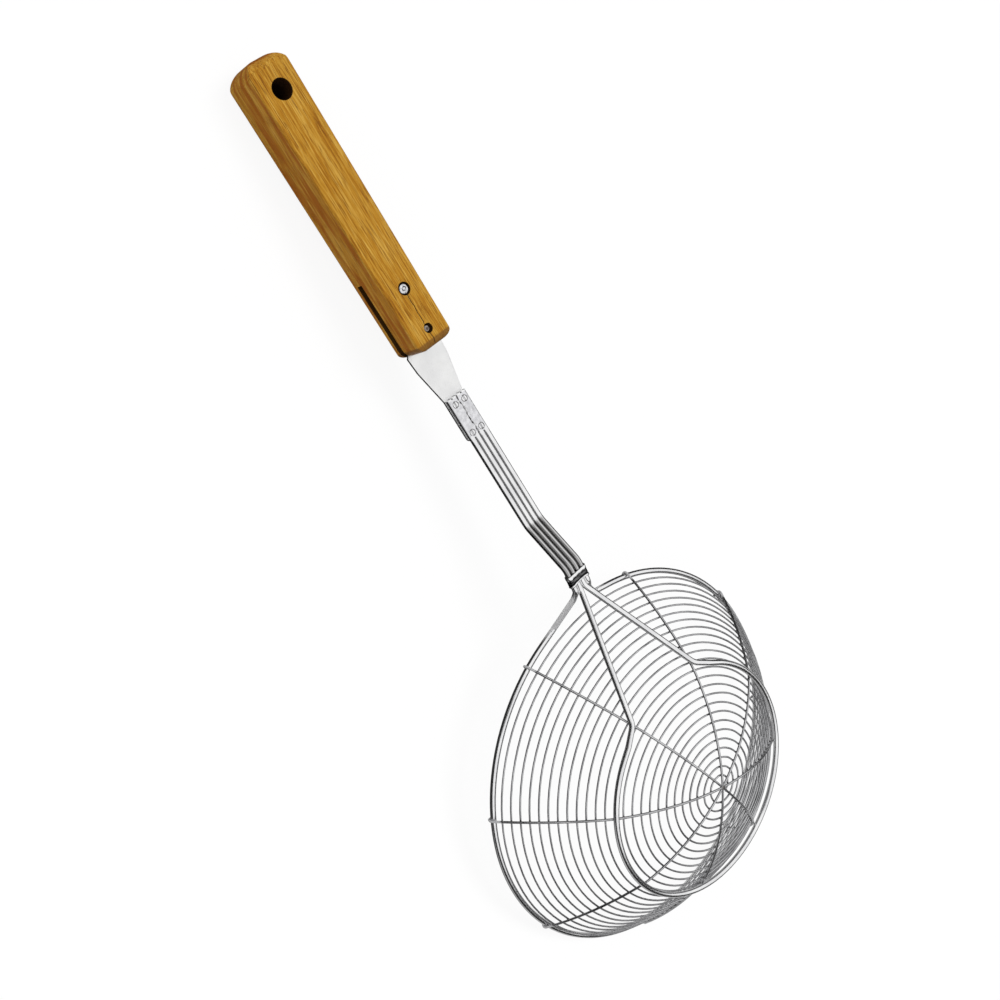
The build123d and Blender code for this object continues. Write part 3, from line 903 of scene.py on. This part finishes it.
def makeBand():
    # the layers run from the bowl's side to the handle's side; the bowl's side is arched over the two arms
    shape = bmesh.new()
    edge, lip = clip["edge"], clip["lip"]
    half = bowl["frameWire"] / 2
    inside = half + clip["clearance"]
    wall = half + clip["wall"]
    length = clip["length"]
    groove = clip["groove"]
    shallow = groove * clip["foldGroove"]
    beadEnd, grooveStart = clip["bead"]
    grooveEnd, foldStart = clip["fold"]
    layers = [
        (inside, 0.0, edge * 0.3),
        (wall - edge - lip, 0.0, 0.0),
        (wall, 0.0, edge),
        (wall, 0.0, edge + beadEnd),
        (wall - lip, groove, edge + grooveStart),
        (wall - lip, groove, length - grooveEnd),
        (wall, shallow, length - foldStart),
        (wall, shallow, length - edge),
        (wall - edge, 0.0, length),
        (inside, 0.0, length - edge * 0.3),
    ]
    rings = []
    for reach, dip, place in layers:
        ring = []
        for y, z in clipOutline(reach, dip):
            arch = clip["bow"] * max(0, 1 - (y / clip["bowReach"]) ** 2) * (1 if z > 0 else clip["bowBelow"])
            along = place + arch * (1 - place / length) ** 1.5
            ring.append(shape.verts.new((along - length / 2, y, z)))
        rings.append(ring)
    joinRings(shape, rings + rings[:1], clip["sides"])
    return shape


clipMiddle = further(neckBend, shaft["neckLength"] / 2, shaft["neckSlope"])
clipPlace = bowlPlace @ Matrix.Translation(inSpace(clipMiddle) * mm)
clipPlace @= Matrix.Rotation(math.radians(shaft["neckSlope"]), 4, "Y")


def paintClip(graph, along, side, colour):
    # a bright upper rim, painted shade over the body with lighter fine lines in it, and a painted highlight
    # along one arc near its lower edge
    look = {
        "dark": (0.012, 0.012, 0.013),
        "from": 1.2,
        "arc": -2.3,
        "arcBow": 0.55,
        "hatched": -0.6,
        "hatching": 0.22,
    }
    reach, across, rise = graph.split(inMillimetres(graph, clipPlace))
    lines = graph.noise(graph.vector(reach * 3.2, across * 0.25, 1.0), detail=2.0).above(0.35, 0.6)
    outward = across / clip["bowReach"]
    arch = clip["bow"] * (1 - outward * outward) * look["arcBow"]
    body = reach.above(look["from"] + 0.15, look["from"] - 0.15)
    arc = abs(reach - arch - look["arc"]).above(0.50, 0.25)
    hatching = reach.above(look["hatched"] - 0.3, look["hatched"] + 0.3) * (1 - lines) * look["hatching"]
    shade = body * (1 - arc) * (1 - hatching)
    return graph.blend(shade, colour, look["dark"]), 1.0


clipLook = wireLook | {
    "tones": ((0.92, 0.92, 0.92), (0.80, 0.80, 0.80), (0.38, 0.37, 0.37)),
    "cloud": 0.2,
    "spots": (0.8, 0.3),
    "gloss": (0.22, 0.12),
    "relief": 0.15,
}
clipSteel = makeSteel("clip_steel", clipLook, paintClip)
standIn(keepMesh("neck_clip_band", makeBand(), clipPlace, clipSteel), "wire_steel", "neck_clip")
print("clip and apex weld made")

# Handle and tang keep the shape of their solids: merged copies, with their edges softened a little.
# flat is an angle in radians, sharp one in degrees
copies = {"merge": 0.004, "flat": 0.004, "sharp": 38.0, "handleEdge": 0.18, "tangEdge": 0.16}


def mergedCopy(node, name, finish, edge):
    # a node's mesh is loose triangles: the copy is merged, flat areas are joined, edges keep their angle
    shape = bmesh.new()
    shape.from_mesh(bpy.data.objects[node].data)
    bmesh.ops.remove_doubles(shape, verts=shape.verts, dist=copies["merge"] * mm)
    bmesh.ops.dissolve_limit(shape, angle_limit=copies["flat"], verts=shape.verts, edges=shape.edges)
    piece = keepMesh(name, shape, Matrix(), finish, 1.0)
    sharp = math.radians(copies["sharp"])
    piece.data.set_sharp_from_angle(angle=sharp)
    bevel = piece.modifiers.new("edges", "BEVEL")
    bevel.width = edge * mm
    bevel.segments = 2
    bevel.limit_method = "ANGLE"
    bevel.angle_limit = sharp
    weighted = piece.modifiers.new("shading", "WEIGHTED_NORMAL")
    weighted.keep_sharp = True
    return piece


standIn(mergedCopy("handle", "handle_bar", bamboo, copies["handleEdge"]), "bamboo", "handle")
standIn(mergedCopy("tang", "tang_plate", tangSteel, copies["tangEdge"]), "tang_steel", "tang")

# Rivets: place along the handle, shank, head, seat, its depth, head height, and the hollow in the head
rivets = {
    "rivet_upper": (28.6, 3.6, 5.3, 6.2, 1.1, 0.9, 1.25),
    "rivet_lower": (8.2, 2.8, 3.6, 4.6, 1.7, 0.6, 0.75),
}
# the hollow and the crown of a head: share of its radius or width, and how far below the top
heads = {
    "sides": 36,
    "sharp": 50,
    "hollow": ((0, 0.4), (0.35, 0.36), (0.62, 0.14)),
    "lip": ((0.78, 0.02), (0.92, 0.0)),
    "crown": ((0.32, 0.08), (0.41, 0.24), (0.47, 0.46), (0.5, 0.72)),
}
for name, (station, shank, head, seat, depth, rise, hollow) in rivets.items():
    base = (grip["thickness"] + (station + seat / 2) * gripWidening) / 2 - depth
    top = base + rise
    half = [(hollow * share, top - hollow * fall) for share, fall in heads["hollow"]]
    half += [(hollow * share, top - fall) for share, fall in heads["lip"]]
    half += [(head * share, top - fall * head / 5) for share, fall in heads["crown"]]
    half += [(head / 2, base), (shank / 2, base)]
    profile = half + [(radius, -height) for radius, height in reversed(half)]
    rivetPlace = gripPlace @ Matrix.Translation((station * mm, 0, 0))
    rivetPiece = keepMesh(name + "_turned", lathe(profile, heads["sides"]), rivetPlace, rivetFinishes[name])
    rivetPiece.data.set_sharp_from_angle(angle=math.radians(heads["sharp"]))
    standIn(rivetPiece, "rivet_steel", name)

# Pressed zone: over the tang the wires are flattened and welded in pairs, with four round marks
pads = {
    "from": -26.2,
    "to": -47.4,
    "seam": 0.10,
    "outer": 5.55,
    "level": 0.93,
    "cells": (84, 26),
    "stations": (-29.4, -44.6),
    "side": 2.94,
    "markRadius": 1.45,
    "markStretch": 0.9,
    "markDepth": 0.34,
    "markRim": 0.10,
    "rimPlace": 1.02,
    "rimWidth": 0.13,
    "ripple": 0.03,
    "waves": ((0.62, 0.0, 0.42), (1.7, 1.0, 0.25)),
    "sideRound": (0.35, 0.35),
    "endRound": (0.6, 0.5),
    "skirt": 0.35,
}


def paintWelds(graph, along, side, colour):
    # dark rings round the four welding marks, and a dark wavy line where the two pairs of wires meet
    look = {"ring": 1.35, "dark": (0.07, 0.065, 0.065), "amount": 0.85}
    rough = graph.noise(graph.vector(along * 1.3, side * 1.3, 2.0), detail=2.0)
    middle = sum((along * rate + phase).maths("SINE") * swing for rate, phase, swing in pads["waves"])
    dark = abs(side - middle + (rough - 0.5) * 1.6).above(0.50, 0.20)
    for station in pads["stations"]:
        reach = graph.reach(along - station, abs(side) - pads["side"])
        dark = dark.maths("MAXIMUM", abs(reach + (rough - 0.5) * 0.9 - look["ring"]).above(0.50, 0.20))
    dark = dark * rough.above(0.20, 0.42)
    return graph.blend(dark * look["amount"], colour, look["dark"]), 1.0


pressedLook = wireLook | {
    "tones": ((0.80, 0.80, 0.82), (0.62, 0.62, 0.64), (0.30, 0.29, 0.29)),
    "marks": (0.6, 1.5),
    "cloud": 0.5,
    "spots": (0.9, 0.3),
    "gloss": (0.30, 0.2),
    "relief": 0.4,
}
pressedSteel = makeSteel("pressed_steel", pressedLook, paintWelds)


def padHeight(along, side):
    height = pads["level"]
    for station in pads["stations"]:
        reach = math.hypot((along - station) * pads["markStretch"], abs(side) - pads["side"])
        reach = reach / pads["markRadius"]
        if reach < 1.35:
            hollow = max(0, 1 - reach * reach)
            ridge = math.exp(-(((reach - pads["rimPlace"]) / pads["rimWidth"]) ** 2))
            height += pads["markRim"] * ridge - pads["markDepth"] * hollow
    height += pads["ripple"] * math.sin(along * 1.7 + side) * math.cos(side * 2.3)
    return height


def fallNear(edge, reach, depth):
    # how far the surface has fallen at a distance from its edge
    return max(0, 1 - edge / reach) ** 2 * depth


padShape = bmesh.new()
rows, columns = pads["cells"]
for side in (-1, 1):
    grid = []
    for row in range(rows + 1):
        share = row / rows
        along = pads["from"] + (pads["to"] - pads["from"]) * share
        wave = sum(swing * math.sin(rate * along + phase) for rate, phase, swing in pads["waves"])
        inner = pads["seam"] + side * wave
        line = []
        for column in range(columns + 1):
            across = column / columns
            y = inner + (pads["outer"] - inner) * across
            edge = min(across, 1 - across) * (pads["outer"] - inner)
            ends = min(share, 1 - share) * abs(pads["to"] - pads["from"])
            drop = fallNear(edge, *pads["sideRound"]) + fallNear(ends, *pads["endRound"])
            if column in (0, columns) or row in (0, rows):
                drop += pads["skirt"]
            height = shaft["wireHeight"] + padHeight(along, y) - drop
            line.append(padShape.verts.new((along, side * y, height)))
        grid.append(line)
    low = shaft["wireHeight"]
    under = [[padShape.verts.new((v.co.x, v.co.y, low)) for v in (line[0], line[-1])] for line in grid]
    for row in range(rows):
        line, after = grid[row], grid[row + 1]
        below, belowAfter = under[row], under[row + 1]
        for column in range(columns):
            padShape.faces.new((line[column], line[column + 1], after[column + 1], after[column]))
        padShape.faces.new((line[0], after[0], belowAfter[0], below[0]))
        padShape.faces.new((line[-1], below[1], belowAfter[1], after[-1]))
        padShape.faces.new((below[0], belowAfter[0], belowAfter[1], below[1]))
    for row in (0, rows):
        padShape.faces.new(grid[row] + [under[row][1], under[row][0]])
standIn(keepMesh("shaft_weld_pads", padShape, gripPlace, pressedSteel), "wire_steel")
print("handle, tang, rivets and weld zone made")

# Floor and world: white to the camera and in reflections, plain to the rest
studio = {
    "floorReach": 4.0,
    "floorLevel": -0.0002,
    "floorColour": (0.84, 0.84, 0.84, 1),
    "floorGlow": 1.02,
    "floorWhite": 0.88,
    "ambient": 0.55,
    "keyEnergy": 1.5,
    "keySoftness": 30.0,
    "keyHeading": (-0.10, 0.45, -1.0),
    "fillEnergy": 0.6,
    "fillSoftness": 60.0,
    "fillHeading": (-0.8, -0.5, -0.6),
    "flagLevel": 0.0006,
    "flagStep": 6,
    "flagRadius": 1.4,
    "flagRise": 33.0,
    "flagHumps": ((160.0, 50.0, 6.0), (-92.0, 55.0, -15.0)),
    "flagTone": 0.035,
    "floorFade": (-0.22, -0.10),
    "floorTone": 0.5,
    "cardPlace": (0.546, 0.650, 0.988),
    "cardSize": 0.36,
    "cardFade": (0.34, 0.14),
}


def seen(graph):
    # 1 for what the camera, a reflection or clear matter sees directly
    rays = graph.add("ShaderNodeLightPath")
    kinds = ("Is Camera Ray", "Is Glossy Ray", "Is Transmission Ray")
    return sum(Flow(graph.tree, rays.outputs[kind]) for kind in kinds).clamp()


def addStage(name, spots, faces, finish):
    mesh = bpy.data.meshes.new(name)
    mesh.from_pydata(spots, [], faces)
    mesh.materials.append(finish)
    sheet = addObject(name, mesh)
    return sheet


def addFlag(name, spots, faces, finish):
    # a black flag of the studio: polished metal mirrors it, nothing else sees it
    flag = addStage(name, spots, faces, finish)
    for kind in ("camera", "diffuse", "transmission", "volume_scatter", "shadow"):
        setattr(flag, "visible_" + kind, False)


oneFace = [(0, 1, 2, 3)]
squareCorners = ((-1, -1), (1, -1), (1, 1), (-1, 1))
floorFinish, graph = startMaterial("floor_white")
plain = graph.add("ShaderNodeBsdfDiffuse", Color=studio["floorColour"])
glow = graph.add("ShaderNodeEmission", Color=(1, 1, 1, 1), Strength=studio["floorGlow"])
share = seen(graph) * studio["floorWhite"]
mixed = graph.add("ShaderNodeMixShader", i0=share, i1=plain.outputs[0], i2=glow.outputs[0])
endMaterial(graph, mixed)
wide = studio["floorReach"]
floorCorners = [(x * wide, y * wide, studio["floorLevel"]) for x, y in squareCorners]
addStage("floor", floorCorners, oneFace, floorFinish)


def darkFinish(name, tone, makeShare=None):
    # a dark glow, which by share gives way to a paler one, or to nothing where there is no tone
    finish, graph = startMaterial(name)
    dark = graph.add("ShaderNodeEmission", Color=(*(studio["flagTone"],) * 3, 1))
    if tone:
        other = graph.add("ShaderNodeEmission", Color=(tone, tone, tone, 1))
    else:
        other = graph.add("ShaderNodeBsdfTransparent")
    place = graph.add("ShaderNodeTexCoord").outputs["Object"]
    share = makeShare(graph, place) if makeShare else 1.0
    mixed = graph.add("ShaderNodeMixShader", i0=share, i1=other.outputs[0], i2=dark.outputs[0])
    endMaterial(graph, mixed)
    return finish


def nearHandle(graph, place):
    return graph.split(place)[0].above(*studio["floorFade"])


def nearCard(graph, place):
    away = graph.add("ShaderNodeVectorMath", {"operation": "DISTANCE"}, i0=place, i1=studio["cardPlace"])
    return Flow(graph.tree, away.outputs[1]).above(*studio["cardFade"])


def flagRise(azimuth):
    # how high the ring of flags reaches, in degrees, at an azimuth
    rise = studio["flagRise"]
    for centre, spread, height in studio["flagHumps"]:
        away = (azimuth - centre + 180) % 360 - 180
        rise += height * math.exp(-((away / spread) ** 2))
    return rise


reach = studio["flagRadius"]
azimuths = range(0, 360, studio["flagStep"])
low = [around(reach, azimuth, studio["flagLevel"]) for azimuth in azimuths]
high = [around(reach, azimuth, reach * math.tan(math.radians(flagRise(azimuth)))) for azimuth in azimuths]
spots = [(0, 0, studio["flagLevel"])] + low + high
count = len(azimuths)
panels = [(0, k + 1, (k + 1) % count + 1) for k in range(count)]
walls = [(k + 1, (k + 1) % count + 1, (k + 1) % count + 1 + count, k + 1 + count) for k in range(count)]
addFlag("flag_floor", spots, panels, darkFinish("flag_low", studio["floorTone"], nearHandle))
addFlag("flag_ring", spots, walls, darkFinish("flag_black", studio["floorTone"]))
cardCentre = Vector(studio["cardPlace"])
cardTurn = cardCentre.to_track_quat("Z", "Y")
size = studio["cardSize"]
cardCorners = [cardCentre + cardTurn @ Vector((x * size, y * size, 0)) for x, y in squareCorners]
addFlag("flag_card", cardCorners, oneFace, darkFinish("flag_soft", None, nearCard))

world = bpy.data.worlds.new("studio")
scene.world = world
world.use_nodes = True
world.node_tree.nodes.clear()
graph = Graph(world.node_tree)
strength = studio["ambient"] + seen(graph) * (1 - studio["ambient"])
sky = graph.add("ShaderNodeBackground", Color=(1, 1, 1, 1), Strength=strength)
graph.add("ShaderNodeOutputWorld", Surface=sky.outputs[0])

# Lamps
for name in ("key", "fill"):
    light = bpy.data.lights.new(name + "_light", "SUN")
    light.energy = studio[name + "Energy"]
    light.angle = math.radians(studio[name + "Softness"])
    lamp = addObject(name + "_light", light)
    lamp.rotation_euler = Vector(studio[name + "Heading"]).to_track_quat("-Z", "Y").to_euler()
    lamp.visible_glossy = False

# Camera: place and axes in the bowl's frame
camera = {
    "place": (472.3, 318.2, 481.2),
    "right": (-0.3571, -0.6721, 0.6486),
    "up": (0.8097, -0.5689, -0.1438),
    "lens": 50.4,
}
lens = bpy.data.cameras.new("camera")
lens.lens = camera["lens"]
lens.clip_start = 0.01
viewer = addObject("camera", lens)
right = Vector(camera["right"]).normalized()
up = Vector(camera["up"])
up = (up - right * up.dot(right)).normalized()
axes = Matrix((right, up, right.cross(up))).transposed().to_4x4()
viewer.matrix_world = bowlPlace @ Matrix.Translation(Vector(camera["place"]) * mm) @ axes
scene.camera = viewer
scene.view_settings.view_transform = "Standard"
print("studio and camera set")

bpy.context.view_layer.update()
